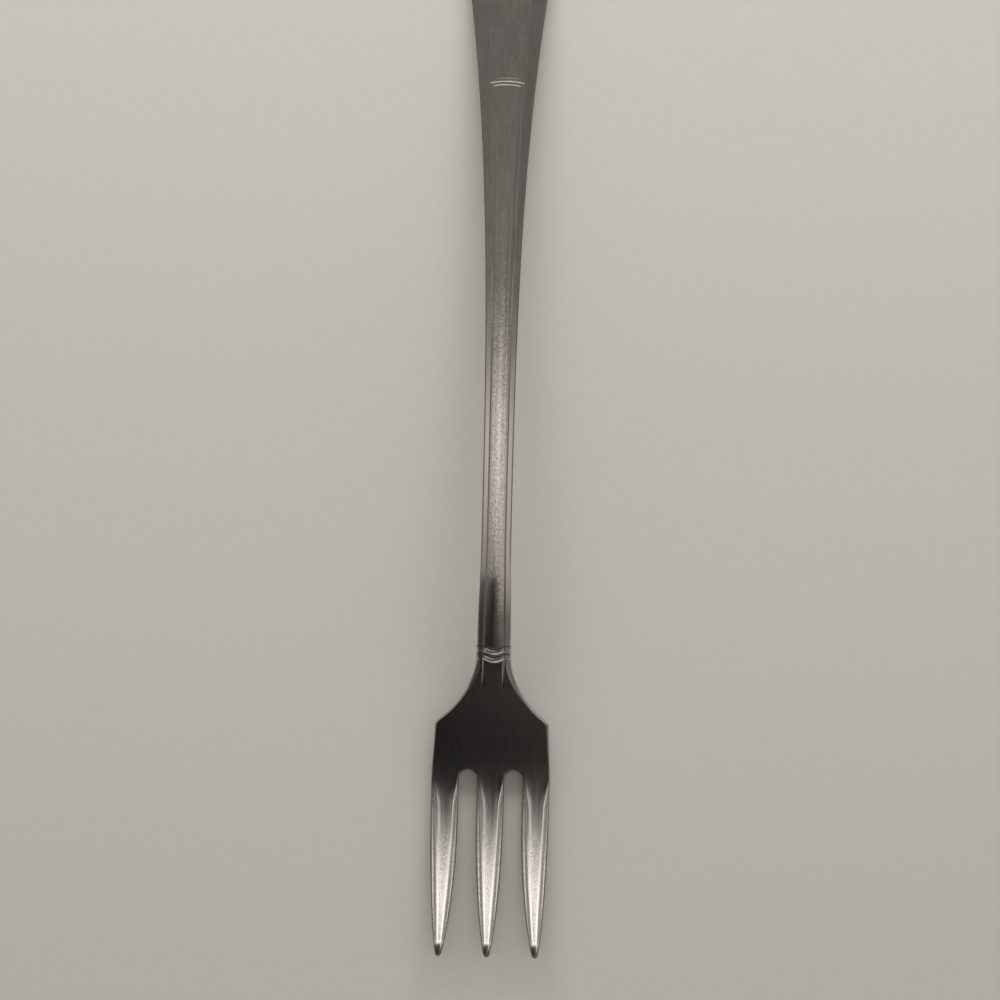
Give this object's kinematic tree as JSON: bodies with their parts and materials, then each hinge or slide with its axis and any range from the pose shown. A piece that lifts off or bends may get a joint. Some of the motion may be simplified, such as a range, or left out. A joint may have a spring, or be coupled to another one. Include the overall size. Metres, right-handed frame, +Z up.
{
  "type": "oyster fork",
  "caption": "Small steel oyster fork with a slim grooved handle that flares at the end, reeded neck bands, squared shoulders and tapered bevelled tines.",
  "frame": {"origin": "centre of the bounding box in plan, on the table that the fork lies on", "axes": "+Y along the fork from the tine tips to the handle end, +Z up with the fork face up, +X across to the viewer's right with the handle pointing away"},
  "size_m": [0.0154, 0.142, 0.0095],
  "materials": {
    "steel": "polished stainless steel worn to a fine satin, with hairline scratches"
  },
  "bodies": {
    "root": {"left_tine": "steel", "middle_tine": "steel", "right_tine": "steel", "head": "steel", "neck_collar": "steel", "handle_shaft": "steel", "handle_end": "steel"}
  },
  "joints": []
}
